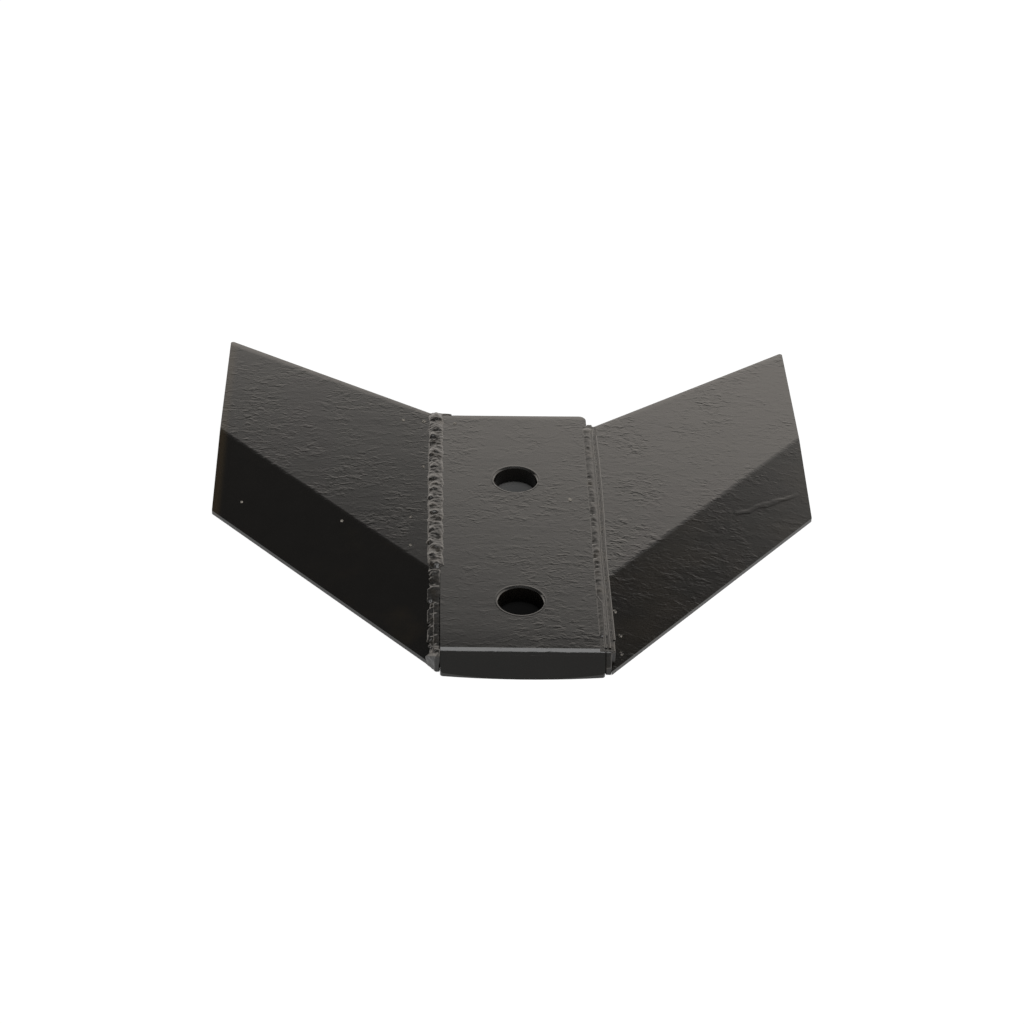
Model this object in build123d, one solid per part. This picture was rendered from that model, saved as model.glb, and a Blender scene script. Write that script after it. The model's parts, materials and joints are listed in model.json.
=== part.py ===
from build123d import *
import math
import os

# Cultivator share: a drilled centre plate with a bevelled nose, and two swept wings welded to its sides.
# The origin is on the underside, midway between the two bolt holes.
# +X is the right side, -Y the cutting end and +Z the upper, working face. All sizes are in millimetres.

# Plates
stock_thickness = 6.0
plate_width = 50.0
plate_length = 130.0
hole_diameter = 14.0
hole_pitch = 66.0
front_hole_setback = 25.5
hole_edge_break = 0.4

# Nose of the centre plate
nose_bevel_run = 6.0
nose_bow = 1.3
nose_corner_radius = 1.0
nose_edge_radius = 3.0

# Back of the centre plate: only its right corner is left open by the welds
back_corner_radius = 2.5

# Joints between the plate and the wings
joint_gap = 2.0

# Wings: reach is measured from the centre line, setbacks back from the plate's upper front edge
land_height = 1.4
tip_radius = 0.8
left_reach = 99.5
left_lead_setback = -1.3
left_lead_sweep_angle = 47.5
left_back_setback = 130.4
left_back_sweep_angle = 32.0
left_grind_width = 27.7
right_reach = 97.6
right_lead_setback = -3.5
right_lead_sweep_angle = 49.1
right_back_setback = 123.9
right_back_sweep_angle = 35.1
right_grind_width = 26.6

# Left weld: a broad bead of raised ripples on a lower core
left_core_width = 3.4
left_core_height = 0.4
left_ripple_width = 4.9
left_ripple_height = 0.85
left_ripple_pitch = 8.5
left_ripple_length = 7.0
left_ripple_tail = 0.3
left_slab_length = 4.0
left_slab_lean = 42.0
left_offset = 1.9
left_end_radius = 2.7
left_end_rounding = 1.6
left_end_proud = 1.3
left_wrap_reach = 6.0
left_wrap_radius = 1.3
left_wrap_rounding = 0.6
left_front_sink = 0.9
left_front_belly = 0.5
front_fill_reach = 4.7
front_fill_lead = 2.8
front_fill_end = 1.5
front_fill_height = 2.7

# Right weld: a low rippled bead lapping on to the plate, with two thin ridges clear beside it
right_core_width = 2.4
right_core_height = 0.25
right_ripple_width = 2.6
right_ripple_height = 0.5
right_ripple_pitch = 7.3
right_ripple_length = 5.5
right_ripple_tail = 0.55
right_lap = 0.3
ridge_width = 0.9
ridge_height = 0.42
ridge_offset = 2.1
ridge_spacing = 1.3
ridge_web_height = 0.12
right_toe_reach = 3.0
right_end_proud = 1.2

# Unevenness of both welds: shares of a ripple's pitch, length and size, and a sideways drift
pitch_scatter = 0.15
length_scatter = 0.15
size_scatter = 0.12
ripple_drift = 0.15

# Places worked out from the sizes above
plate_front = -(front_hole_setback + hole_pitch / 2)
plate_back = plate_front + plate_length
plate_side = plate_width / 2
wing_root = plate_side + joint_gap
joint_middle = plate_side + joint_gap / 2
big = 4 * plate_length


class Wing:
    """Outline of one wing in plan, for the side where side is -1 on the left and +1 on the right."""

    def __init__(self, side, reach, lead_setback, lead_angle, back_setback, back_angle, grind_width):
        self.side = side
        self.reach = reach
        self.span = reach - wing_root
        self.lead_turn = math.radians(lead_angle)
        self.lead_slope = math.tan(self.lead_turn)
        self.lead_root = plate_front + lead_setback
        self.lead_tip = self.lead_root + self.span * self.lead_slope
        self.back_root = plate_front + back_setback
        self.back_tip = self.back_root + self.span * math.tan(math.radians(back_angle))
        self.grind_width = grind_width
        self.grind_root = self.lead_root + grind_width / math.cos(self.lead_turn)


left = Wing(-1, left_reach, left_lead_setback, left_lead_sweep_angle, left_back_setback,
            left_back_sweep_angle, left_grind_width)
right = Wing(1, right_reach, right_lead_setback, right_lead_sweep_angle, right_back_setback,
             right_back_sweep_angle, right_grind_width)


def make_centre_plate():
    """Flat bar, bevelled nose with a slightly bowed edge, two bolt holes with broken edges."""
    tip = plate_front - nose_bevel_run
    with BuildSketch() as plan:
        with BuildLine():
            Polyline((-plate_side, tip + nose_bow), (-plate_side, plate_back), (plate_side, plate_back),
                     (plate_side, tip + nose_bow))
            ThreePointArc((plate_side, tip + nose_bow), (0, tip), (-plate_side, tip + nose_bow))
        make_face()
        front_corners = plan.vertices().group_by(Axis.Y)[0]
        fillet(front_corners, nose_corner_radius)
        back_right_corner = plan.vertices().group_by(Axis.Y)[-1].sort_by(Axis.X)[-1]
        fillet(back_right_corner, back_corner_radius)
    plate = extrude(plan.sketch, stock_thickness)

    clear_front = tip - stock_thickness
    clear_top = 2 * stock_thickness
    above_nose = Polyline((tip, 0), (plate_front, stock_thickness), (plate_front, clear_top),
                          (clear_front, clear_top), (clear_front, 0), close=True)
    plate -= extrude(Plane.YZ * make_face(above_nose), plate_width, both=True)
    nose_edge = plate.edges().filter_by(Axis.X).group_by(Axis.Z)[-1].sort_by(Axis.Y)[0]
    plate = fillet(nose_edge, nose_edge_radius)

    hole = Cylinder(hole_diameter / 2, stock_thickness, align=(Align.CENTER, Align.CENTER, Align.MIN))
    for hole_y in (-hole_pitch / 2, hole_pitch / 2):
        plate -= Pos(0, hole_y, 0) * hole
    rims = plate.edges().filter_by(GeomType.CIRCLE)
    rims = rims.filter_by(lambda edge: abs(edge.radius - hole_diameter / 2) < hole_edge_break)
    return chamfer(rims, hole_edge_break)


def make_wing(wing):
    """Swept plate with its leading edge ground down from the stock thickness to a thin land."""
    s = wing.side
    corners = [(s * wing_root, wing.lead_root), (s * wing.reach, wing.lead_tip),
               (s * wing.reach, wing.back_tip), (s * wing_root, wing.back_root)]
    plate = extrude(make_face(Polyline(*corners, close=True)), stock_thickness)
    outer_corners = plate.edges().filter_by(Axis.Z).sort_by(Axis.X if s > 0 else -Axis.X)[-2:]
    plate = fillet(outer_corners, tip_radius)

    # The grind is a wedge whose section runs square to the leading edge.
    across = Vector(-s * math.sin(wing.lead_turn), math.cos(wing.lead_turn), 0)
    section_plane = Plane((s * wing_root, wing.lead_root, 0), x_dir=across,
                          z_dir=across.cross(Vector(0, 0, 1)))
    fall = (stock_thickness - land_height) / wing.grind_width
    overshoot = stock_thickness
    wedge = Polyline((-overshoot, land_height - overshoot * fall), (wing.grind_width, stock_thickness),
                     (wing.grind_width, 2 * stock_thickness), (-overshoot, 2 * stock_thickness), close=True)
    return plate - extrude(section_plane * make_face(wedge), big, both=True)


def cap(x, width, height, y):
    """Section across the seam at x: a low round cap that stands on the plates' top face."""
    section = Plane((x, y, stock_thickness), x_dir=(1, 0, 0), z_dir=(0, -1, 0))
    arc = ThreePointArc((-width / 2, 0), (0, height), (width / 2, 0))
    return section * make_face([arc, Line((width / 2, 0), (-width / 2, 0))])


def wander(i):
    """Small unevenness from one ripple to the next, between -1 and 1."""
    return (math.sin(2.4 * i) + math.sin(5.1 * i)) / 2


def ripple_places(start_y, end_y, pitch):
    """Number and y of each ripple between two ends, near an even pitch."""
    count = max(1, round(abs(end_y - start_y) / pitch))
    step = (end_y - start_y) / count
    return [(i, start_y + step * (i + 0.5 + pitch_scatter * wander(i))) for i in range(count)]


def ripples_on_top(x, start_y, end_y, width, height, pitch, length, tail):
    """Raised ripples along a seam whose plates are level, each a drop that narrows to the back by tail."""
    raised = []
    for i, y in ripple_places(start_y, end_y, pitch):
        uneven = 1 + size_scatter * wander(i + 3)
        middle = x + ripple_drift * wander(i + 7)
        reach = length * (1 + length_scatter * wander(i)) / 2
        front = cap(middle, width * uneven, height * uneven, y - reach)
        back = cap(middle, width * uneven * tail, height * uneven * tail, y + reach)
        raised.append(loft([front, back], ruled=True))
    return raised


def half_space(plane):
    """Everything on the side of a plane that its normal points to."""
    return plane * Box(big, big, big, align=(Align.CENTER, Align.CENTER, Align.MIN))


def joint_root(side, front_y, back_y):
    """Weld metal that fills the gap between the plate and a wing, no higher than the nose's slope."""
    fill = Box(joint_gap, back_y - front_y, stock_thickness, align=(Align.CENTER, Align.MIN, Align.MIN))
    nose_slope = Plane((0, plate_front, stock_thickness), z_dir=(0, -stock_thickness, nose_bevel_run))
    return Pos(side * joint_middle, front_y, 0) * fill - half_space(nose_slope)


# Ends of the flat on the left weld's front: low on the leading edge, and full height beside the plate
flat_low = Vector(-plate_side - front_fill_reach,
                  left.lead_root + (front_fill_reach - joint_gap) * left.lead_slope, front_fill_height)
flat_high = Vector(-plate_side - front_fill_end, plate_front - front_fill_lead, stock_thickness)


def front_fill():
    """Weld metal between the left wing's leading edge and the plate's side."""
    back = Vector(-plate_side, flat_low.Y, stock_thickness)
    plan = Polyline((back.X, back.Y), (flat_low.X, flat_low.Y), (flat_high.X, flat_high.Y),
                    (back.X, flat_high.Y), close=True)
    block = extrude(make_face(plan), stock_thickness)
    slope = Plane(flat_low, x_dir=back - flat_low, z_dir=(back - flat_low).cross(flat_high - flat_low) * -1)
    return block - half_space(slope)


def sloping_fillet(swell):
    """Left weld beside the grind: as high as the plates at the knee, and sunk between them at the front."""
    toe = -plate_side - left_offset - left_core_width / 2 - swell
    middle = (toe - plate_side) / 2
    sections = []
    for y, wall, belly, foot in (
            (left.grind_root, stock_thickness + left_core_height / 2, stock_thickness + left_core_height,
             stock_thickness),
            (flat_high.Y, stock_thickness - left_front_sink, stock_thickness / 2 + left_front_belly,
             land_height / 2)):
        outline = Polyline((-plate_side, 0), (-plate_side, wall + swell), (middle, belly + swell),
                           (toe, foot + swell), (toe, 0), close=True)
        sections.append(Plane((0, y, 0), x_dir=(1, 0, 0), z_dir=(0, -1, 0)) * make_face(outline))
    return loft(sections, ruled=True)


def leaning_slabs(start_y, end_y, pitch, length, lean):
    """Slabs across a seam, leaning back, that cut ripples out of a swollen copy of the bead."""
    slabs = []
    for i, y in ripple_places(start_y, end_y, pitch):
        slab = Box(4 * left_ripple_width, length * (1 + length_scatter * wander(i)), 4 * stock_thickness)
        slabs.append(Pos(-plate_side, y, stock_thickness / 2) * Rot(-lean, 0, 0) * slab)
    return slabs


def make_left_weld(plate, wing_solid):
    """Broad rippled bead that fills the left joint, wraps the plate's back corner and closes the front."""
    x = -plate_side - left_offset
    crown = extrude(cap(x, left_core_width, left_core_height, plate_back), plate_back - left.grind_root)
    top = [crown] + ripples_on_top(x, plate_back - left_end_radius, left.grind_root, left_ripple_width,
                                   left_ripple_height, left_ripple_pitch, left_ripple_length,
                                   left_ripple_tail)

    # The bead ends in a rounded lump that runs round the plate's back corner.
    lump = Cylinder(left_end_radius, stock_thickness + left_ripple_height,
                    align=(Align.CENTER, Align.MAX, Align.MIN))
    lump = fillet(lump.edges().group_by(Axis.Z)[-1], left_end_rounding)
    wrap = Cylinder(left_wrap_radius, left_wrap_reach, align=(Align.CENTER, Align.CENTER, Align.MIN))
    wrap = fillet(wrap.edges().group_by(Axis.Z)[-1], left_wrap_rounding)
    wrap = Pos(x, plate_back, stock_thickness - left_wrap_radius / 2) * Rot(0, 90, 0) * wrap
    lump = Pos(x, plate_back + left_end_proud, 0) * lump + wrap
    lump = lump - plate - wing_solid

    swell = left_ripple_height - left_core_height
    slabs = leaning_slabs(left.grind_root - left_ripple_pitch, flat_high.Y, left_ripple_pitch,
                          left_slab_length, left_slab_lean)
    swollen = sloping_fillet(swell)
    fillets = [swollen & slab for slab in slabs] + [sloping_fillet(0), front_fill()]
    outward = Vector(flat_high.Y - flat_low.Y, flat_low.X - flat_high.X, 0)
    front = (fillets[0] + fillets[1:]) - wing_solid - half_space(Plane(flat_low, z_dir=outward))
    return joint_root(-1, plate_front, plate_back) + (top + [lump, front])


def make_right_weld(plate, wing_solid):
    """Low rippled bead that laps on to the plate's edge, with two thin ridges where it meets the wing."""
    x = plate_side - right_lap
    ridges = [x + ridge_offset, x + ridge_offset + ridge_spacing]
    toe = ridges[1] + ridge_width / 2
    length = right.back_root - plate_front
    top = [extrude(cap(x, right_core_width, right_core_height, right.back_root), length)]
    top += [extrude(cap(place, ridge_width, ridge_height, right.back_root), length) for place in ridges]
    top.append(Pos((x + ridges[1]) / 2, plate_front, stock_thickness) * Box(
        ridges[1] - x, length, ridge_web_height, align=(Align.CENTER, Align.MIN, Align.MIN)))
    top += ripples_on_top(x, right.back_root, plate_front, right_ripple_width, right_ripple_height,
                          right_ripple_pitch, right_ripple_length, right_ripple_tail)

    # Beside the grind the bead stands on a sloping toe.
    outline = Polyline((plate_side, 0), (plate_side, stock_thickness), (toe, stock_thickness),
                       (toe + right_toe_reach, 0), close=True)
    start = Plane((0, right.grind_root, 0), x_dir=(1, 0, 0), z_dir=(0, -1, 0))
    toe_fill = extrude(start * make_face(outline), right.grind_root - plate_front)
    leading_edge = Plane((wing_root, right.lead_root, 0), z_dir=(right.lead_slope, -1, 0))
    toe_fill = toe_fill - wing_solid - half_space(leading_edge)
    return joint_root(1, right.lead_root, right.back_root + right_end_proud) + (top + [toe_fill])


if __name__ == "__main__":
    os.makedirs("parts", exist_ok=True)
    centre_plate = make_centre_plate()
    left_wing = make_wing(left)
    right_wing = make_wing(right)
    parts = {
        "centre_plate": centre_plate,
        "left_wing": left_wing,
        "right_wing": right_wing,
        "left_weld": make_left_weld(centre_plate, left_wing),
        "right_weld": make_right_weld(centre_plate, right_wing),
    }
    for name, part in parts.items():
        export_step(part, f"parts/{name}.step")
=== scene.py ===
import json
import math

import bpy
from mathutils import Matrix, Vector


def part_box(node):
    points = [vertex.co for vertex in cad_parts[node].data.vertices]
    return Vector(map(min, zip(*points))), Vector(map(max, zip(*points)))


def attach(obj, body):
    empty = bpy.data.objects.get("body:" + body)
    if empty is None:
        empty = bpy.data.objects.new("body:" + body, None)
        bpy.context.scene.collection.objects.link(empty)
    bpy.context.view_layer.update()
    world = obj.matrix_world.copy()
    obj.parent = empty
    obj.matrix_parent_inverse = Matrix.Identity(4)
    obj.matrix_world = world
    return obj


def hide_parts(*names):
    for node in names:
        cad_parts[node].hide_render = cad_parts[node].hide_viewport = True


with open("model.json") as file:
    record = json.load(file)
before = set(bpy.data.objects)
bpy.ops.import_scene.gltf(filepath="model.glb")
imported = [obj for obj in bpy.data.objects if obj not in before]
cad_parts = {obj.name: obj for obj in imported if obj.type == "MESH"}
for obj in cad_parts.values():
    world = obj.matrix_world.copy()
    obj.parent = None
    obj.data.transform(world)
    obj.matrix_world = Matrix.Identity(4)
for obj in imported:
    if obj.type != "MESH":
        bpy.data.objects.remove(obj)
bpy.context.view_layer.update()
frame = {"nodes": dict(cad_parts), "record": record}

bl_info = {
    "name": "Cultivator share",
    "version": (1, 0, 0),
    "blender": (4, 5, 0),
    "location": "3D View > Sidebar > Share",
    "description": "Paints and welds a cultivator share",
    "category": "Object",
}

MM = 0.001
plate_low, plate_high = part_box("centre_plate")
left_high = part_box("left_wing")[1]
right_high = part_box("right_wing")[1]
TOP = plate_high.z
# How far the nose slopes forward below the plate's upper front edge.
NOSE_RUN = 6 * MM
FRONT_EDGE = plate_low.y + NOSE_RUN
# Where the left bead starts to dip beside the grind, in millimetres behind the upper front edge.
FRONT_STRETCH = 41
# Where the camera stands. The spatter is placed along its lines of sight.
CAMERA_PLACE = Vector((-33.54 * MM, -664.10 * MM, 488.73 * MM))


class ShareSizes(bpy.types.PropertyGroup):
    """Sizes of the share's finish."""
    edge_rounding: bpy.props.FloatProperty(
        name="Edge rounding", description="Radius that paint and wear leave on a cut edge",
        default=0.3 * MM, unit="LENGTH", subtype="DISTANCE")
    grind_softness: bpy.props.FloatProperty(
        name="Grind softness", description="Width over which a wing's top turns into its grind",
        default=0.9 * MM, unit="LENGTH", subtype="DISTANCE")
    back_rounding: bpy.props.FloatProperty(
        name="Back rounding", description="Radius of the plates' upper back edges",
        default=0.8 * MM, unit="LENGTH", subtype="DISTANCE")
    left_sweep: bpy.props.FloatProperty(
        name="Left sweep", description="Angle of the left cutting edge, back from square",
        default=math.radians(47.5), unit="ROTATION", subtype="ANGLE")
    right_sweep: bpy.props.FloatProperty(
        name="Right sweep", description="Angle of the right cutting edge, back from square",
        default=math.radians(49.1), unit="ROTATION", subtype="ANGLE")
    left_back_sweep: bpy.props.FloatProperty(
        name="Left back sweep", description="Angle of the left wing's back edge, back from square",
        default=math.radians(32.0), unit="ROTATION", subtype="ANGLE")
    right_back_sweep: bpy.props.FloatProperty(
        name="Right back sweep", description="Angle of the right wing's back edge, back from square",
        default=math.radians(35.1), unit="ROTATION", subtype="ANGLE")
    left_grind: bpy.props.FloatProperty(
        name="Left grind", description="Width of the left wing's ground slope, square to its cutting edge",
        default=27.7 * MM, unit="LENGTH", subtype="DISTANCE")
    right_grind: bpy.props.FloatProperty(
        name="Right grind", description="Width of the right wing's ground slope, square to its cutting edge",
        default=26.6 * MM, unit="LENGTH", subtype="DISTANCE")
    bead_grain: bpy.props.FloatProperty(
        name="Bead grain", description="Size of the smallest lump kept in a weld bead",
        default=0.24 * MM, unit="LENGTH", subtype="DISTANCE")
    bead_roughness: bpy.props.FloatProperty(
        name="Bead roughness", description="Height of the small lumps on a weld bead",
        default=0.3 * MM, unit="LENGTH", subtype="DISTANCE")
    spatter_size: bpy.props.FloatProperty(
        name="Spatter size", description="Width of a ball of weld spatter",
        default=1.25 * MM, unit="LENGTH", subtype="DISTANCE")


class ShareColours(bpy.types.PropertyGroup):
    """Colours of the share and of what it stands on."""
    paint: bpy.props.FloatVectorProperty(
        name="Paint", description="Gloss black paint", size=3, subtype="COLOR",
        default=(0.0034, 0.0030, 0.0026), min=0, max=1)
    thin_paint: bpy.props.FloatVectorProperty(
        name="Thin paint", description="Brownish paint where the steel shows through", size=3,
        subtype="COLOR", default=(0.020, 0.0145, 0.0075), min=0, max=1)
    # Painted highlight: a pale colour on the spatter that stands in for the light its crowns catch.
    spatter_highlight: bpy.props.FloatVectorProperty(
        name="Spatter highlight", description="Pale colour painted on spatter as a highlight", size=3,
        subtype="COLOR", default=(0.2, 0.19, 0.17), min=0, max=1)
    # Painted shade: the colour of a dark card that stands in for the shadow under the centre plate.
    card: bpy.props.FloatVectorProperty(
        name="Painted shade card", description="Dark card under the centre plate", size=3, subtype="COLOR",
        default=(0.01, 0.01, 0.01), min=0, max=1)
    floor: bpy.props.FloatVectorProperty(
        name="Floor", description="Pale floor", size=3, subtype="COLOR", default=(0.82, 0.82, 0.82),
        min=0, max=1)


def sizes():
    return bpy.context.scene.share_sizes


def colours():
    return bpy.context.scene.share_colours


class Wire:
    """A socket that takes part in ordinary arithmetic."""

    def __init__(self, finish, socket):
        self.finish = finish
        self.socket = socket

    def maths(self, operation, *values):
        inputs = dict(enumerate(values))
        return self.finish.node("ShaderNodeMath", {"operation": operation}, inputs)

    def __add__(self, other):
        return self.maths("ADD", self, other)

    __radd__ = __add__

    def __sub__(self, other):
        return self.maths("SUBTRACT", self, other)

    def __rsub__(self, other):
        return self.maths("SUBTRACT", other, self)

    def __mul__(self, other):
        return self.maths("MULTIPLY", self, other)

    __rmul__ = __mul__

    def __pow__(self, other):
        return self.maths("POWER", self, other)

    def __abs__(self):
        return self.maths("ABSOLUTE", self)


class Finish:
    """The nodes of one material or of the room."""

    # A Mix node has its colour sockets at these numbers, and shares their names with other sockets.
    FIRST_COLOUR = 6
    SECOND_COLOUR = 7
    MIXED_COLOUR = 2

    def __init__(self, owner):
        owner.use_nodes = True
        self.tree = owner.node_tree
        self.tree.nodes.clear()

    def node(self, kind, settings=None, inputs=None, output=0):
        """Adds a node, sets it, feeds its inputs, and gives one of its outputs back as a Wire."""
        made = self.tree.nodes.new(kind)
        for key, value in (settings or {}).items():
            setattr(made, key, value)
        for key, value in (inputs or {}).items():
            if isinstance(value, Wire):
                self.tree.links.new(value.socket, made.inputs[key])
            else:
                made.inputs[key].default_value = value
        return Wire(self, made.outputs[output]) if made.outputs else None

    def others(self, wire, *keys):
        """More outputs of the node that a wire comes from."""
        outputs = wire.socket.node.outputs
        return [Wire(self, outputs[key]) for key in keys]

    def millimetres(self):
        """Object coordinates in millimetres."""
        place = self.node("ShaderNodeTexCoord", output="Object")
        return self.node("ShaderNodeVectorMath", {"operation": "SCALE"}, {0: place, "Scale": 1 / MM})

    def split(self, vector):
        """The X, Y and Z parts of a vector."""
        return self.others(self.node("ShaderNodeSeparateXYZ", inputs={0: vector}), 0, 1, 2)

    def stretched(self, vector, turn, stretch, shift=(0, 0, 0)):
        """The pattern coordinates turned about Z and scaled."""
        return self.node("ShaderNodeMapping", {"vector_type": "POINT"},
                         {"Vector": vector, "Location": shift, "Rotation": (0, 0, turn), "Scale": stretch})

    def noise(self, vector, scale, detail=2.0, roughness=0.5, distortion=0.0):
        return self.node("ShaderNodeTexNoise", {"noise_dimensions": "3D"},
                         {"Vector": vector, "Scale": scale, "Detail": detail, "Roughness": roughness,
                          "Distortion": distortion})

    def between(self, value, low, high):
        """0 at low, 1 at high, and a smooth step between."""
        return self.node("ShaderNodeMapRange", {"interpolation_type": "SMOOTHSTEP"},
                         {"Value": value, "From Min": low, "From Max": high})

    def ramp(self, value, low, high):
        """0 at low, 1 at high, straight between and level beyond."""
        return self.node("ShaderNodeMapRange", {"clamp": True},
                         {"Value": value, "From Min": low, "From Max": high})

    def mix(self, factor, first, second):
        """A colour between two."""
        return self.node("ShaderNodeMix", {"data_type": "RGBA"},
                         {0: factor, self.FIRST_COLOUR: first, self.SECOND_COLOUR: second}, self.MIXED_COLOUR)

    def surface(self, shader, kind="ShaderNodeOutputMaterial"):
        self.node(kind, inputs={"Surface": shader})


def rgba(colour, strength=1):
    """A colour made darker or lighter, as a node takes it."""
    return (*(strength * part for part in colour), 1)


def only(*objects):
    """Leave these the only selected objects, the first of them active."""
    bpy.ops.object.select_all(action="DESELECT")
    for obj in objects:
        obj.select_set(True)
    bpy.context.view_layer.objects.active = objects[0]


def add(primitive, **settings):
    """Add a primitive with nothing else selected."""
    bpy.ops.object.select_all(action="DESELECT")
    primitive(**settings)
    return bpy.context.active_object


def settle(obj):
    """Move an object's place, turn and size into its mesh."""
    only(obj)
    bpy.ops.object.transform_apply(location=True, rotation=True, scale=True)


def edit(obj, kind="VERT"):
    """Enter edit mode on obj alone, with nothing selected."""
    only(obj)
    bpy.ops.object.mode_set(mode="EDIT")
    bpy.ops.mesh.select_mode(type=kind)
    bpy.ops.mesh.select_all(action="DESELECT")


def pick(obj, test, kind="vertices"):
    """In edit mode, select just the vertices, edges or polygons that pass a test."""
    bpy.ops.mesh.select_all(action="DESELECT")
    bpy.ops.object.mode_set(mode="OBJECT")
    for element in getattr(obj.data, kind):
        element.select = test(element)
    bpy.ops.object.mode_set(mode="EDIT")


def leave():
    bpy.ops.object.mode_set(mode="OBJECT")


def modify(obj, kind, **settings):
    """Add a modifier, set it and apply it."""
    modifier = obj.modifiers.new(kind.title(), kind)
    for key, value in settings.items():
        setattr(modifier, key, value)
    only(obj)
    bpy.ops.object.modifier_apply(modifier=modifier.name)


def copy_node(node, name):
    """A copy of a CAD node's mesh with its loose triangles merged into flat faces."""
    same_point = 0.002 * MM
    same_plane = math.radians(0.5)
    obj = bpy.data.objects.new(name, frame["nodes"][node].data.copy())
    bpy.context.scene.collection.objects.link(obj)
    obj.data.materials.clear()
    edit(obj)
    bpy.ops.mesh.select_all(action="SELECT")
    bpy.ops.mesh.remove_doubles(threshold=same_point)
    bpy.ops.mesh.dissolve_limited(angle_limit=same_plane)
    leave()
    return obj


def deliver(obj, material, slot, *nodes):
    """Smooth, paint and place a finished piece."""
    sharp_from = math.radians(35)
    only(obj)
    bpy.ops.object.shade_smooth_by_angle(angle=sharp_from)
    modify(obj, "WEIGHTED_NORMAL", keep_sharp=True)
    obj.data.materials.append(material)
    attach(obj, "root")
    if nodes:
        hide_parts(*nodes)


def bores():
    """The two bolt holes in the record."""
    return [mount for mount in frame["record"]["mounts"] if mount["kind"] == "bore"]


def inside(x, y, node, heading):
    """Distance in millimetres inside the edge of a node that faces a heading, turned from +Y towards +X."""
    facing = Vector((math.sin(heading), math.cos(heading)))
    reach = max(vertex.co.xy.dot(facing) for vertex in frame["nodes"][node].data.vertices)
    return reach / MM - x * facing.x - y * facing.y


# Wrinkles of the paint: height, turn from the way that the plate's wrinkles run, length, width, and a
# shift that gives each kind its own part of the noise.
WRINKLES = (
    (0.010, 0.0, 2.1, 1.4, 3.1),
    (0.022, 0.2, 4.0, 2.2, 11.7),
    (-0.014, -0.15, 2.8, 1.7, 27.3),
)


def wrinkles(finish, place, turn):
    """Height of short separate wrinkles that run along a direction turned from X."""
    height = 0
    for rise, aside, length, width, shift in WRINKLES:
        pattern = finish.stretched(place, turn + aside, (1 / length, 1 / width, 1 / length), (shift,) * 3)
        noise = finish.noise(pattern, 1.0, roughness=0.6, distortion=0.5)
        height = height + rise * finish.between(noise, 0.5, 0.74)
    return height


def paint(name, marks, back, grain=1.0, turn=0.0, lean=0.0, calm=None, relief=None):
    """Gloss black paint over rolled steel.

    marks gives where the paint is thin and back how far inside the back edge a point is.
    grain is how wrinkled the paint is, turn the way its wrinkles run, lean how far the face tips
    to the front, calm where the wrinkles fade, and relief the height of what only one plate has.
    """
    material = bpy.data.materials.new(name)
    finish = Finish(material)
    place = finish.millimetres()
    x, y = finish.split(place)[:2]

    faintest = 0.3
    patches = finish.between(finish.noise(place, 0.05), 0.42, 0.6)
    strength = grain * (faintest + (1 - faintest) * patches)
    if calm is not None:
        strength = strength * (1 - calm(finish, x, y))
    swell_height = 0.025
    swell = finish.noise(finish.stretched(place, turn, (0.05, 0.14, 0.1)), 1.0)
    peel_height = 0.0016
    peel = finish.noise(place, 0.8, detail=1.0)
    droop_width = 2.8
    droop_depth = 0.12
    droop = (1 - finish.ramp(back(x, y), 0, droop_width)) ** 2
    height = strength * wrinkles(finish, place, turn) + swell_height * swell + peel_height * peel
    height = height + lean * y - droop_depth * droop
    if relief is not None:
        height = height + relief(finish, place, x, y)
    normal = finish.node("ShaderNodeBump", inputs={"Height": height, "Distance": MM, "Strength": 1.0})

    darkest = 0.8
    lightest = 1.3
    tone = finish.noise(place, 0.12, detail=3.0)
    colour = finish.mix(tone, rgba(colours().paint, darkest), rgba(colours().paint, lightest))
    colour = finish.mix(marks(finish, place, x, y), colour, rgba(colours().thin_paint))
    smoothest = 0.12
    unevenness = 0.05
    roughness = smoothest + unevenness * finish.noise(place, 0.2, detail=3.0)
    shader = finish.node("ShaderNodeBsdfPrincipled", inputs={
        "Base Color": colour, "Roughness": roughness, "Normal": normal, "IOR": 1.5})
    finish.surface(shader)
    return material


def plate_back(x, y):
    return inside(x, y, "centre_plate", 0)


def left_back(x, y):
    return inside(x, y, "left_wing", sizes().left_back_sweep)


def right_back(x, y):
    return inside(x, y, "right_wing", -sizes().right_back_sweep)


def left_slope(finish, x, y):
    """1 on the left wing's grind."""
    width = sizes().left_grind / MM
    blend = 1.2
    edge = inside(x, y, "left_wing", math.pi + sizes().left_sweep)
    return 1 - finish.between(edge, width - blend, width)


def right_slope(finish, x, y):
    """1 on the right wing's grind."""
    width = sizes().right_grind / MM
    blend = 0.8
    edge = inside(x, y, "right_wing", math.pi - sizes().right_sweep)
    return 1 - finish.between(edge, width - blend, width)


def right_calm(finish, x, y):
    """Wrinkles are about half as high on the right wing's grind."""
    return 0.55 * right_slope(finish, x, y)


def plate_relief(finish, place, x, y):
    """A front end that droops a little, its worn edge, and a thin lip of paint round both holes."""
    front = FRONT_EDGE / MM
    droop_run = 13.0
    droop_depth = 0.09
    wear_behind = 1.9
    wear_ahead = 0.8
    wear_depth = 0.78
    lip_distance = 0.8
    lip_height = 0.02
    lip_crown = 0.05
    lip_foot = 0.4
    droop = (1 - finish.ramp(y, front, front + droop_run)) ** 2
    worn = 1 - finish.ramp(y, front - wear_ahead, front + wear_behind)
    height = 0 - droop_depth * droop - wear_depth * worn
    for hole in bores():
        centre = hole["pos_m"][1] / MM
        rim = hole["dims"]["r_mm"] + lip_distance
        radius = (x ** 2 + (y - centre) ** 2) ** 0.5
        height = height + lip_height * (1 - finish.between(abs(radius - rim), lip_crown, lip_foot))
    return height


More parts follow.
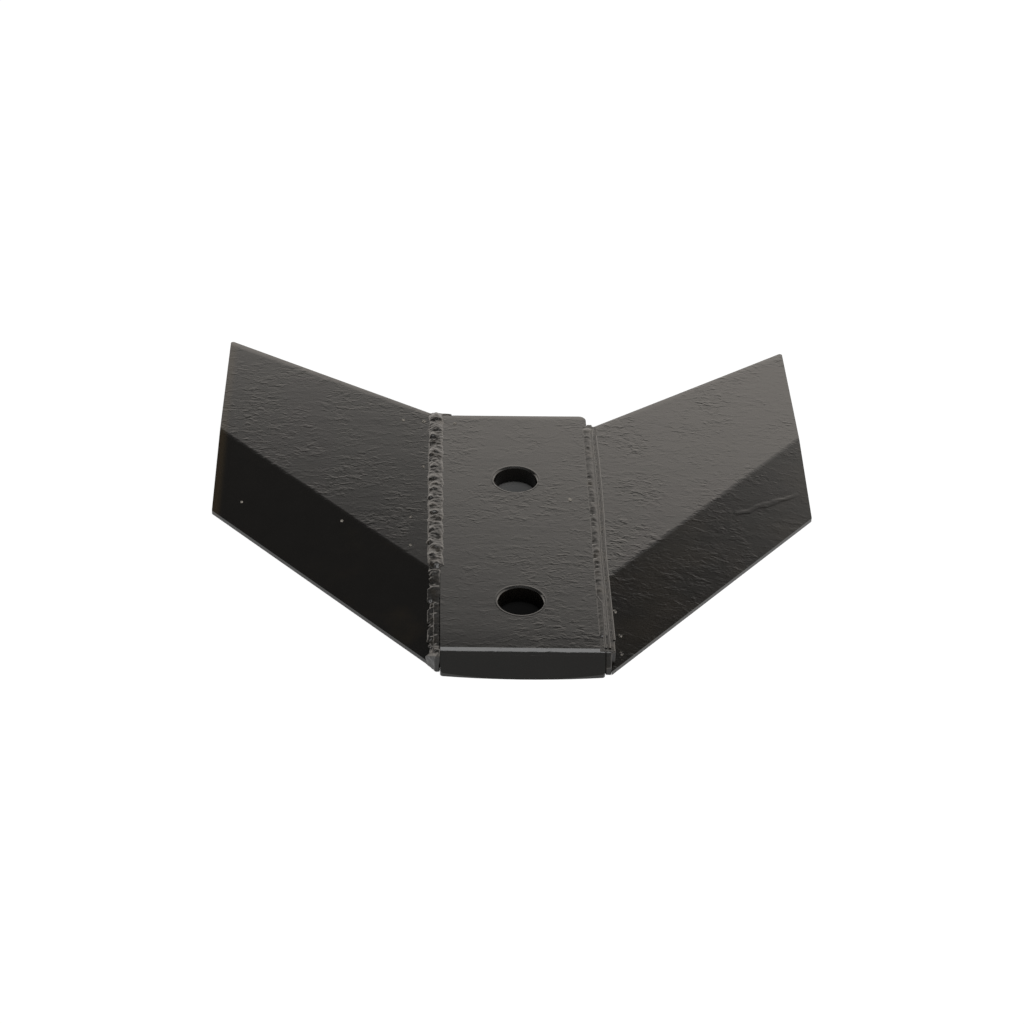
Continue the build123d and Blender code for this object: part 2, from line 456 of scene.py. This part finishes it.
def right_relief(finish, place, x, y):
    """A wavy run of paint down the right wing's grind."""
    start_x, start_y = 71, 16
    end_x, end_y = 94, 31
    overrun = 1
    fade = 3
    height = 0.03
    crown = 0.3
    foot = 1.5
    sway = 4.0 * (finish.noise(place, 0.16, detail=1.0) - 0.5)
    slope = (end_y - start_y) / (end_x - start_x)
    off = abs(y - start_y - slope * (x - start_x) + sway)
    begun = finish.between(x, start_x - overrun, start_x + fade)
    ended = finish.between(x, end_x - fade, end_x + overrun)
    return height * (1 - finish.between(off, crown, foot)) * begun * (1 - ended)


def plate_marks(finish, place, x, y):
    """A few small thin spots."""
    return 0.4 * finish.between(finish.noise(place, 0.3, detail=4.0), 0.72, 0.85)


def left_marks(finish, place, x, y):
    """A browner strip along the left wing's outer edge, and faint clouds of thin paint on its grind."""
    rim = 1 - finish.between(inside(x, y, "left_wing", -math.pi / 2), 1.0, 3.6)
    cloud = finish.between(finish.noise(place, 0.07, detail=4.0), 0.5, 0.75)
    near = finish.between(x, -75.0, -40.0)
    return 0.8 * rim + 0.25 * left_slope(finish, x, y) * cloud * near


def right_marks(finish, place, x, y):
    """Faint clouds of thin paint on the right wing's grind."""
    cloud = finish.between(finish.noise(place, 0.06, detail=4.0), 0.4, 0.7)
    return right_slope(finish, x, y) * (0.04 + 0.2 * cloud)


class SHARE_OT_plates(bpy.types.Operator):
    """Round the edges of the centre plate and the two wings, and paint them"""
    bl_idname = "share.plates"
    bl_label = "Plates"

    def execute(self, context):
        finishes = {
            "centre_plate": paint("plate_paint", plate_marks, plate_back, relief=plate_relief),
            "left_wing": paint("left_wing_paint", left_marks, left_back, turn=-0.2, lean=0.026,
                               calm=left_slope),
            "right_wing": paint("right_wing_paint", right_marks, right_back, grain=1.8, turn=0.4,
                                calm=right_calm, relief=right_relief),
        }
        cut_edge = math.radians(28)
        for node, material in finishes.items():
            plate = copy_node(node, node + "_painted")
            if node == "centre_plate":
                self.ream_holes(plate)
            else:
                self.soften_grind(plate)
            self.round_back(plate)
            modify(plate, "BEVEL", width=sizes().edge_rounding, segments=3, limit_method="ANGLE",
                   angle_limit=cut_edge, use_clamp_overlap=True)
            deliver(plate, material, "painted_plate", node)
        return {"FINISHED"}

    def top_edges(self, plate, meets):
        """Edges between the flat top and a face whose normal passes a test."""
        faces = plate.data.polygons
        level = 0.999
        top = {key for face in faces if face.normal.z > level for key in face.edge_keys}
        other = {key for face in faces if meets(face.normal) for key in face.edge_keys}
        return top & other

    def ream_holes(self, plate):
        """Cut both bolt holes truly round, with the small chamfers at their ends."""
        clearance = 0.01 * MM
        for hole in bores():
            centre = hole["pos_m"]
            radius = hole["dims"]["r_mm"] * MM + clearance
            bore = hole["dims"]["length_mm"] * MM
            chamfer = (TOP - bore) / 2
            spread = (radius + chamfer) / radius
            cutter = add(bpy.ops.mesh.primitive_cylinder_add, vertices=96, radius=radius, depth=bore,
                         location=centre)
            settle(cutter)
            edit(cutter, "FACE")
            for end in (-1, 1):
                pick(cutter, lambda face: face.normal.z * end > 0.9, "polygons")
                bpy.ops.mesh.extrude_region_move(TRANSFORM_OT_translate={"value": (0, 0, end * chamfer)})
                bpy.ops.transform.resize(value=(spread, spread, 1), center_override=centre)
                bpy.ops.mesh.extrude_region_move(TRANSFORM_OT_translate={"value": (0, 0, end * MM)})
            leave()
            modify(plate, "BOOLEAN", object=cutter, operation="DIFFERENCE", solver="EXACT")
            bpy.data.objects.remove(cutter)

    def soften_grind(self, plate):
        """Blend the shallow edge between the top face and the grind."""
        least = math.cos(math.radians(14))
        most = math.cos(math.radians(6))
        line = self.top_edges(plate, lambda normal: least < normal.z < most)
        edit(plate, "EDGE")
        pick(plate, lambda edge: edge.key in line, "edges")
        bpy.ops.mesh.bevel(offset=sizes().grind_softness, segments=4, profile=0.5)
        leave()

    def round_back(self, plate):
        """Round the long upper back edge."""
        line = self.top_edges(plate, lambda normal: normal.y > 0.5 and abs(normal.z) < 0.1)
        shortest = 10 * MM

        def chosen(edge):
            start, end = (plate.data.vertices[i].co for i in edge.vertices)
            return edge.key in line and (start - end).length > shortest

        edit(plate, "EDGE")
        pick(plate, chosen, "edges")
        bpy.ops.mesh.bevel(offset=sizes().back_rounding, segments=5, profile=0.5)
        leave()


# How a ripple narrows to its tail and flattens to its front: from where, and to what share of before.
RIPPLE_TAIL = ((0.0, 0.88), (0.15, 0.82), (0.28, 0.75), (0.4, 0.7))
RIPPLE_FRONT = ((-0.1, 0.72), (-0.35, 0.6))


def model_ripple():
    """One solidified ripple of weld metal: a drop with its tail to the back, one unit in size each way."""
    ripple = add(bpy.ops.mesh.primitive_uv_sphere_add, segments=20, ring_count=10, radius=0.5,
                 location=(0, 0, 0))
    ripple.name = "ripple"
    edit(ripple)
    for start, share in RIPPLE_TAIL:
        pick(ripple, lambda vertex: vertex.co.y > start)
        bpy.ops.transform.resize(value=(share, 1, 1), center_override=(0, 0, 0))
    for start, share in RIPPLE_FRONT:
        pick(ripple, lambda vertex: vertex.co.y < start)
        bpy.ops.transform.resize(value=(1, 1, share), center_override=(0, 0, 0))
    leave()
    return ripple


def place_copy(model, place, size, turn=0.0):
    """A copy of a small model with its own mesh, at its place and size."""
    obj = bpy.data.objects.new(model.name, model.data.copy())
    bpy.context.scene.collection.objects.link(obj)
    obj.location = place
    obj.scale = size
    obj.rotation_euler = (0, 0, turn)
    settle(obj)
    return obj


def strand(points, radius, flatten):
    """A line of weld metal through points, its height flattened to a share of its width."""
    line = add(bpy.ops.mesh.primitive_circle_add, vertices=12, radius=radius, fill_type="NGON",
               location=points[0], rotation=(math.pi / 2, 0, 0))
    settle(line)
    edit(line)
    bpy.ops.mesh.select_all(action="SELECT")
    bpy.ops.transform.resize(value=(1, 1, flatten), center_override=points[0])
    for start, end in zip(points, points[1:]):
        bpy.ops.mesh.extrude_region_move(TRANSFORM_OT_translate={"value": end - start})
    bpy.ops.mesh.select_all(action="SELECT")
    bpy.ops.mesh.normals_make_consistent(inside=False)
    leave()
    return line


def fit(x, y):
    """A place measured from the plate's upper front edge, in millimetres, as a place on the share."""
    return Vector((x * MM, FRONT_EDGE + y * MM, TOP))


def swaying(across, sway, rate, start, step):
    """Places along the left seam, from start to the front stretch, that sway from side to side."""
    stations = range(start, FRONT_STRETCH, -step)
    return [fit(across + sway * math.sin(rate * i), y) for i, y in enumerate(stations)]


def carried(x, y):
    """The place on a plate or wing that the camera sees in line with a place at the plate's top."""
    line = fit(x, y) - CAMERA_PLACE
    for node in ("centre_plate", "left_wing", "right_wing"):
        hit, spot = bpy.data.objects[node + "_painted"].ray_cast(CAMERA_PLACE, line)[:2]
        if hit:
            return spot
    raise RuntimeError("nothing carries a drop at %.1f, %.1f" % (x, y))


def base_bead(node, name, crown_from, crown_to):
    """A copy of a weld, shaved level with the plates between two places along the seam."""
    obj = copy_node(node, name)
    for vertex in obj.data.vertices:
        if vertex.co.z > TOP and crown_from < vertex.co.y < crown_to:
            vertex.co.z = TOP
    return obj


def share_of(value, start, end):
    """0 at start, 1 at end, straight between and level beyond."""
    return min(max((value - start) / (end - start), 0), 1)


def wing_height(node, x, y):
    """Height of a painted wing's upper side."""
    above = Vector((x, y, 2 * TOP))
    hit, spot = bpy.data.objects[node + "_painted"].ray_cast(above, Vector((0, 0, -1)))[:2]
    if not hit:
        raise RuntimeError("no wing at %.4f, %.4f" % (x, y))
    return spot.z


def clouds(name, size):
    """A cloudy pattern for the lumps of a bead."""
    texture = bpy.data.textures.new(name, "CLOUDS")
    texture.noise_scale = size
    texture.noise_depth = 1
    return texture


def drop_bubbles(bead):
    """Keep a bead's outer shell and remove any small bubble closed inside it."""
    edit(bead)
    bpy.ops.mesh.select_all(action="SELECT")
    bpy.ops.mesh.separate(type="LOOSE")
    leave()
    shells = sorted(bpy.context.selected_objects, key=lambda shell: len(shell.data.vertices))
    for bubble in shells[:-1]:
        bpy.data.objects.remove(bubble)
    return shells[-1]


def fuse(parts, name, softening, roughness):
    """Melt overlapping lumps into one closed bead, smooth it and roughen it a little."""
    coarse = 2.4 * MM
    fine = 1.1 * MM
    share = 0.6
    height = share * roughness * sizes().bead_roughness
    only(*parts)
    bpy.ops.object.join()
    bead = bpy.context.active_object
    modify(bead, "REMESH", mode="VOXEL", voxel_size=sizes().bead_grain)
    bead = drop_bubbles(bead)
    bead.name = name
    modify(bead, "SMOOTH", factor=0.5, iterations=softening)
    for size in (coarse, fine):
        modify(bead, "DISPLACE", texture=clouds(name, size), texture_coords="LOCAL", strength=height,
               mid_level=0.5)
    return bead


def scoop(bead, pits):
    """Press pits into the upper side of a bead, each steep at its front and rising to the back."""
    steepness = 6
    upward = 0.2
    upper = [vertex for vertex in bead.data.vertices if vertex.normal.z > upward]
    for x, y, width, length, depth in pits:
        centre = fit(x, y)
        for vertex in upper:
            across = (vertex.co.x - centre.x) / (width * MM)
            along = (vertex.co.y - centre.y) / (length * MM)
            if abs(across) < 1 and abs(along) < 1:
                ramp = min((1 - along) / 2, steepness * (1 + along))
                vertex.co.z -= depth * MM * ramp * (1 - across ** 2) ** 2


def finish_bead(bead, lines, node):
    """Join the thin raised lines to a bead and keep it inside its node's box."""
    only(bead, *lines)
    bpy.ops.object.join()
    low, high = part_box(node)
    for vertex in bead.data.vertices:
        for i in range(3):
            vertex.co[i] = min(max(vertex.co[i], low[i]), high[i])


# All places along the beads are across from the middle and back from the plate's upper front edge, in
# millimetres. A ripple has the place of its tail, then its width, length and height.
LEFT_RIPPLES = (
    (-26.3, 131.5, 5.2, 9.0, 0.9), (-26.0, 125.0, 4.6, 9.0, 0.86), (-27.4, 119.5, 3.0, 6.0, 0.84),
    (-26.9, 110.8, 4.2, 8.0, 0.86), (-27.8, 107.6, 2.6, 5.0, 0.84),
    (-27.0, 101.2, 3.8, 6.5, 0.8), (-27.0, 94.2, 4.6, 6.0, 0.9), (-26.6, 89.8, 4.0, 4.5, 0.88),
    (-27.0, 87.0, 4.2, 4.5, 0.86), (-28.0, 82.4, 2.8, 4.5, 0.82), (-27.0, 78.5, 4.0, 6.0, 0.8),
    (-26.9, 73.8, 4.2, 4.0, 0.82), (-27.4, 64.6, 3.6, 5.0, 0.8), (-28.3, 57.4, 2.6, 4.0, 0.82),
    (-26.6, 55.2, 3.6, 5.0, 0.84), (-27.4, 50.4, 3.2, 4.0, 0.86), (-26.3, 45.6, 3.4, 4.0, 0.86),
)
RIGHT_RIPPLES = (
    (25.0, 120.3, 2.6, 6.0, 0.36), (25.0, 113.4, 2.6, 5.0, 0.36), (25.0, 108.0, 2.6, 7.0, 0.36),
    (25.0, 100.3, 2.6, 8.0, 0.36), (25.0, 91.5, 2.6, 3.0, 0.34), (25.0, 88.0, 2.7, 8.0, 0.38),
    (25.0, 78.7, 2.6, 5.5, 0.38), (25.0, 72.0, 2.7, 5.5, 0.38), (24.9, 65.2, 2.7, 6.0, 0.38),
    (24.9, 54.8, 2.7, 6.0, 0.4), (24.8, 47.8, 2.6, 3.5, 0.38), (24.8, 42.2, 2.6, 3.0, 0.38),
    (24.7, 38.5, 2.6, 4.0, 0.38), (24.7, 34.0, 2.6, 6.0, 0.38),
)
# A drop in the left bead's front stretch has the place of its middle, that place's height above the
# share's underside, and its width.
LEFT_DROPS = (
    (-27.5, 38.4, 5.7, 1.5), (-27.5, 32.3, 5.1, 1.4), (-25.9, 24.0, 5.8, 1.1), (-25.9, 21.4, 5.7, 1.1),
    (-25.9, 18.3, 5.6, 1.1), (-28.2, 15.0, 3.5, 1.3), (-28.1, 10.5, 3.2, 1.3), (-28.1, 6.2, 3.0, 1.4),
    (-26.2, 5.0, 4.6, 1.2),
)
# A pit has the place of its middle, then half its width, half its length and its depth.
LEFT_PITS = (
    (-28.6, 122.0, 1.3, 1.6, 0.3), (-27.4, 113.4, 2.9, 3.4, 0.55), (-28.4, 101.6, 1.2, 1.3, 0.2),
    (-25.2, 102.6, 1.1, 1.5, 0.2), (-25.2, 82.0, 1.1, 1.5, 0.2), (-25.1, 74.5, 1.0, 1.5, 0.18),
    (-26.8, 71.0, 1.5, 1.2, 0.22), (-26.0, 67.5, 1.7, 1.1, 0.24), (-25.9, 58.5, 1.4, 2.1, 0.34),
    (-26.1, 50.6, 0.9, 1.4, 0.24), (-25.5, 48.4, 0.9, 1.3, 0.2), (-27.3, 41.7, 2.1, 2.6, 0.45),
    (-27.5, 35.0, 1.5, 1.5, 0.3), (-27.2, 27.5, 1.4, 2.6, 0.35), (-27.2, 22.6, 1.4, 2.6, 0.35),
    (-27.0, 13.0, 1.5, 3.0, 0.35), (-27.0, 8.0, 1.3, 2.0, 0.3),
)
RIGHT_PITS = (
    (24.9, 109.6, 0.8, 1.1, 0.12), (24.6, 92.8, 0.8, 1.0, 0.14), (24.6, 89.0, 0.8, 1.0, 0.14),
    (25.0, 79.5, 0.8, 1.2, 0.14), (24.6, 73.0, 1.0, 1.4, 0.2), (24.6, 66.0, 0.8, 1.2, 0.14),
    (24.3, 57.3, 1.1, 2.1, 0.18), (24.3, 48.7, 0.9, 1.2, 0.16), (24.7, 45.2, 0.7, 0.9, 0.12),
    (24.6, 43.0, 0.7, 0.9, 0.12),
)
# The raised lines on the right bead, as the places that each runs through.
RIGHT_RIDGES = (
    ((26.6, 121.0), (26.6, 108.0), (26.7, 92.0), (26.7, 75.0), (26.5, 60.0), (26.3, 52.0), (26.4, 40.0),
     (26.4, 28.0), (26.4, 15.0), (26.5, 2.0)),
    ((27.9, 118.0), (28.1, 105.0), (28.2, 90.0), (28.1, 72.0), (27.8, 58.0), (27.7, 45.0), (27.8, 34.0),
     (27.9, 20.0), (28.0, 6.0)),
    ((23.9, 27.7), (25.3, 24.1), (25.2, 15.0), (25.1, 6.0), (25.2, 2.0)),
)
# Spatter: the place at which each ball is seen, and its size as a share of the usual one.
SPATTER = (
    (17.7, 80.2, 1.1), (-37.5, 126.0, 0.9), (-30.5, 125.3, 1.1), (-19.9, 124.3, 0.9), (-30.7, 98.1, 0.9),
    (-34.4, 69.1, 0.8), (-34.5, 53.7, 0.8), (-89.5, 76.3, 0.7), (-56.7, 66.5, 0.8), (28.9, 20.3, 1.1),
    (29.9, 8.3, 1.0), (29.8, -0.5, 1.1),
)


def weld_paint(name, smoothest, painted_highlight):
    """Paint over rough weld metal, with pale patches of painted highlight where the highlight share isn't 0.
    """
    material = bpy.data.materials.new(name)
    finish = Finish(material)
    place = finish.millimetres()
    lumps = 0.02 * finish.noise(place, 0.9)
    specks = 0.004 * finish.noise(place, 3.0)
    normal = finish.node("ShaderNodeBump", inputs={"Height": lumps + specks, "Distance": MM})
    tone = finish.between(finish.noise(place, 0.25, detail=3.0), 0.45, 0.75)
    brown = [(dark + thin) / 2 for dark, thin in zip(colours().paint, colours().thin_paint)]
    colour = finish.mix(tone, rgba(colours().paint), rgba(brown))
    if painted_highlight:
        # Painted highlight: pale patches stand in for light caught on the spatter balls.
        highlit = painted_highlight * finish.between(finish.noise(place, 0.7, detail=1.0), 0.35, 0.55)
        colour = finish.mix(highlit, colour, rgba(colours().spatter_highlight))
    roughness = smoothest + 0.1 * finish.noise(place, 0.6)
    shader = finish.node("ShaderNodeBsdfPrincipled", inputs={
        "Base Color": colour, "Roughness": roughness, "Normal": normal, "IOR": 1.5})
    finish.surface(shader)
    return material


class SHARE_OT_welds(bpy.types.Operator):
    """Model the two rough weld beads over their seams"""
    bl_idname = "share.welds"
    bl_label = "Weld beads"

    def execute(self, context):
        material = weld_paint("weld_paint", smoothest=0.24, painted_highlight=0.0)
        ripple = model_ripple()
        left = fuse(self.left_parts(ripple), "left_bead", softening=8, roughness=1.0)
        self.sink_fill(left)
        scoop(left, LEFT_PITS)
        finish_bead(left, [self.left_line()], "left_weld")
        right = fuse(self.right_parts(ripple), "right_bead", softening=14, roughness=0.35)
        scoop(right, RIGHT_PITS)
        finish_bead(right, self.right_lines(), "right_weld")
        deliver(left, material, "painted_weld", "left_weld")
        deliver(right, material, "painted_weld", "right_weld")
        bpy.data.objects.remove(ripple)
        return {"FINISHED"}

    def ripples(self, model, rows):
        """Copies of the ripple, each with its tail at the place that the row gives."""
        made = []
        for x, y, width, length, height in rows:
            centre = fit(x, y - length / 2)
            made.append(place_copy(model, centre, (width * MM, length * MM, 2 * height * MM)))
        return made

    def left_parts(self, model):
        """The CAD bead cut level, a low wavy core on it, its ripples, and the drops at its front."""
        base = base_bead("left_weld", "left_base", fit(0, FRONT_STRETCH).y, left_high.y)
        self.taper_wrap(base)
        route = swaying(across=-26.4, sway=0.25, rate=2.1, start=127, step=3)
        core = strand(route, 2.5 * MM, flatten=0.26)
        parts = [base, core] + self.ripples(model, LEFT_RIPPLES)
        for x, y, z, size in LEFT_DROPS:
            centre = Vector((fit(x, y).x, fit(x, y).y, z * MM))
            parts.append(place_copy(model, centre, (size * MM, 1.3 * size * MM, size * MM)))
        return parts

    def taper_wrap(self, base):
        """Let the rounded end that wraps the plate's back corner fall away to the right."""
        most = 0.7
        full = fit(-26, 0).x
        thin = fit(-20.5, 0).x
        back = plate_high.y
        for vertex in base.data.vertices:
            fall = most * share_of(vertex.co.x, full, thin)
            if vertex.co.y > back:
                vertex.co.y = back + (vertex.co.y - back) * (1 - fall)

    def sink_fill(self, bead):
        """Let the bead's front stretch lie low beside the left wing's grind."""
        seam = fit(-27.6, 0).x
        far = fit(0, 36).y
        near = fit(0, 6).y
        high = wing_height("left_wing", seam, far)
        low = wing_height("left_wing", seam, near)
        proud = 0.35 * MM
        most = 0.62
        for vertex in bead.data.vertices:
            y = vertex.co.y
            level = low + (high - low) * (y - near) / (far - near) + proud
            sink = most * share_of(y, fit(0, FRONT_STRETCH).y, far) * share_of(y, fit(0, 1).y, fit(0, 5).y)
            if vertex.co.z > level:
                vertex.co.z -= sink * (vertex.co.z - level)

    def left_line(self):
        """A thin raised line along the left bead's outer toe."""
        route = swaying(across=-28.7, sway=0.15, rate=1.9, start=112, step=4)
        return strand(route, 0.3 * MM, flatten=0.7)

    def right_parts(self, model):
        """The CAD bead with its front slanted and its flank drawn in, a low core on it, and its ripples."""
        base = base_bead("right_weld", "right_base", plate_low.y, right_high.y)
        flank = fit(28.2, 0).x
        setback = 0.3 * MM
        for vertex in base.data.vertices:
            nose = plate_low.y + vertex.co.z * NOSE_RUN / TOP
            vertex.co.y = max(vertex.co.y, nose + setback)
            if vertex.co.x > flank:
                drawn_in = share_of(vertex.co.y, fit(0, 46).y, fit(0, 32).y)
                vertex.co.x -= drawn_in * (vertex.co.x - flank)
        core = strand([fit(25, y) for y in (122, 100, 80, 60, 40, 20, 8)], 1.5 * MM, flatten=0.2)
        return [base, core] + self.ripples(model, RIGHT_RIPPLES)

    def right_lines(self):
        """The raised lines along the right bead."""
        routes = [[fit(x, y) for x, y in ridge] for ridge in RIGHT_RIDGES]
        return [strand(route, 0.45 * MM, flatten=0.75) for route in routes]


class SHARE_OT_spatter(bpy.types.Operator):
    """Scatter the small drops of weld spatter that stuck to the plates"""
    bl_idname = "share.spatter"
    bl_label = "Spatter"

    def execute(self, context):
        ball = self.model_ball()
        made = []
        for x, y, share in SPATTER:
            size = share * sizes().spatter_size
            made.append(place_copy(ball, carried(x, y), (size, size, 0.9 * size), turn=0.7 * x))
        bpy.data.objects.remove(ball)
        only(*made)
        bpy.ops.object.join()
        group = bpy.context.active_object
        group.name = "weld_spatter"
        # The spatter's paint carries pale patches of painted highlight.
        deliver(group, weld_paint("spatter_paint", smoothest=0.3, painted_highlight=0.8), "painted_weld")
        return {"FINISHED"}

    def model_ball(self):
        """A ball with a wide foot and a flat crown, one unit wide."""
        ball = add(bpy.ops.mesh.primitive_uv_sphere_add, segments=16, ring_count=10, radius=0.5,
                   location=(0, 0, 0))
        foot_width = 1.15
        foot_depth = 0.4
        crown_from = 0.4
        crown_fall = 0.3
        edit(ball)
        pick(ball, lambda vertex: vertex.co.z < 0)
        bpy.ops.transform.resize(value=(foot_width, foot_width, foot_depth), center_override=(0, 0, 0))
        pick(ball, lambda vertex: vertex.co.z > crown_from)
        bpy.ops.transform.translate(value=(0, 0, -crown_fall))
        leave()
        return ball


class SHARE_OT_stage(bpy.types.Operator):
    """Set the floor, the soft light and the camera"""
    bl_idname = "share.stage"
    bl_label = "Stage"

    def execute(self, context):
        self.lay_floor()
        self.lay_shade_card()
        self.light_room()
        self.hang_lamp()
        self.set_camera()
        context.scene.view_settings.view_transform = "Standard"
        return {"FINISHED"}

    def lay_floor(self):
        """A pale floor that the camera and the gloss see as white, apart from the share's shadow."""
        floor = add(bpy.ops.mesh.primitive_plane_add, size=12.0, location=(0, 0, -0.05 * MM))
        floor.name = "floor"
        material = bpy.data.materials.new("floor_paper")
        finish = Finish(material)
        rays = finish.node("ShaderNodeLightPath")
        camera, glossy, through = finish.others(rays, "Is Camera Ray", "Is Glossy Ray", "Is Transmission Ray")
        whiteness = 0.88 * (camera + glossy + through)
        paper = finish.node("ShaderNodeBsdfDiffuse", inputs={"Color": rgba(colours().floor)})
        white = finish.node("ShaderNodeEmission", inputs={"Color": (1, 1, 1, 1), "Strength": 1.08})
        finish.surface(finish.node("ShaderNodeMixShader", inputs={0: whiteness, 1: paper, 2: white}))
        floor.data.materials.append(material)

    def lay_shade_card(self):
        """A dark card on the floor under the centre plate: painted shade for the shadow seen through its
        holes.

        It is paler under the back hole than under the front one, as painted light from behind.
        """
        share = 0.8
        back_hole = 33.0
        back_hole_light = 12
        card = add(bpy.ops.mesh.primitive_plane_add, size=1.0, location=(0, 0, -0.02 * MM))
        card.name = "card"
        width = share * (plate_high.x - plate_low.x)
        length = share * (plate_high.y - plate_low.y)
        bpy.ops.transform.resize(value=(width, length, 1))
        settle(card)
        material = bpy.data.materials.new("card_paper")
        finish = Finish(material)
        y = finish.split(finish.millimetres())[1]
        # Painted light: the card grows paler towards the back hole, where light from behind reaches the
        # floor.
        lighter_towards_back = finish.ramp(y, 0.0, back_hole)
        colour = finish.mix(lighter_towards_back, rgba(colours().card), rgba(colours().card, back_hole_light))
        finish.surface(finish.node("ShaderNodeBsdfDiffuse", inputs={"Color": colour}))
        card.data.materials.append(material)

    def light_room(self):
        """A warm pale wall all round, highest behind the share and to its right, under a darker ceiling."""
        wall_height = 0.44
        rise_behind = 0.155
        rise_right = 0.2
        wall_edge = 0.083
        wall_light = 1.9
        ceiling_light = 0.11
        front_light = 0.33
        scene = bpy.context.scene
        if scene.world is None:
            scene.world = bpy.data.worlds.new("room")
        finish = Finish(scene.world)
        x, y, z = finish.split(finish.node("ShaderNodeTexCoord", output="Generated"))
        behind = finish.between(y, -0.2, 0.7)
        front = finish.between(0 - y, -0.2, 0.6)
        wall_top = wall_height + rise_behind * behind + rise_right * x
        wall = finish.between(wall_top - z, -wall_edge, wall_edge)
        light = ceiling_light + front_light * front + wall_light * wall
        tint = finish.mix(wall, (1, 1, 0.98, 1), (1, 0.935, 0.865, 1))
        room = finish.node("ShaderNodeBackground", inputs={"Color": tint, "Strength": light})
        finish.surface(room, "ShaderNodeOutputWorld")

    def hang_lamp(self):
        """A long soft lamp overhead."""
        radiance = 4.6
        lamp = add(bpy.ops.object.light_add, type="AREA", location=(0.05, -0.02, 1.1))
        lamp.name = "soft_lamp"
        lamp.data.shape = "RECTANGLE"
        lamp.data.size = 0.36
        lamp.data.size_y = 0.85
        lamp.data.energy = radiance * math.pi * lamp.data.size * lamp.data.size_y

    def set_camera(self):
        """The camera looks down on the share from the front, a little from the left."""
        elevation = math.radians(35.406)
        heading = math.radians(2.694)
        roll = math.radians(2.348)
        camera = add(bpy.ops.object.camera_add, location=(0, 0, 0))
        camera.data.lens = 90
        camera.data.sensor_width = 36
        camera.data.clip_start = 0.01
        turn = Matrix.Rotation(-heading, 4, "Z") @ Matrix.Rotation(math.pi / 2 - elevation, 4, "X")
        turn = turn @ Matrix.Rotation(roll, 4, "Z")
        camera.matrix_world = Matrix.Translation(CAMERA_PLACE) @ turn
        bpy.context.scene.camera = camera


class SHARE_PT_panel(bpy.types.Panel):
    """Steps of the share's finish"""
    bl_label = "Cultivator share"
    bl_idname = "SHARE_PT_panel"
    bl_space_type = "VIEW_3D"
    bl_region_type = "UI"
    bl_category = "Share"

    def draw(self, context):
        for operator in STEPS:
            self.layout.operator(operator.bl_idname)


STEPS = (SHARE_OT_stage, SHARE_OT_plates, SHARE_OT_welds, SHARE_OT_spatter)
CLASSES = (ShareSizes, ShareColours, *STEPS, SHARE_PT_panel)


def register():
    for each in CLASSES:
        bpy.utils.register_class(each)
    bpy.types.Scene.share_sizes = bpy.props.PointerProperty(type=ShareSizes)
    bpy.types.Scene.share_colours = bpy.props.PointerProperty(type=ShareColours)


def unregister():
    del bpy.types.Scene.share_colours
    del bpy.types.Scene.share_sizes
    for each in reversed(CLASSES):
        bpy.utils.unregister_class(each)


def main():
    register()
    bpy.ops.share.stage()
    bpy.ops.share.plates()
    bpy.ops.share.welds()
    bpy.ops.share.spatter()


if __name__ == "__main__":
    main()
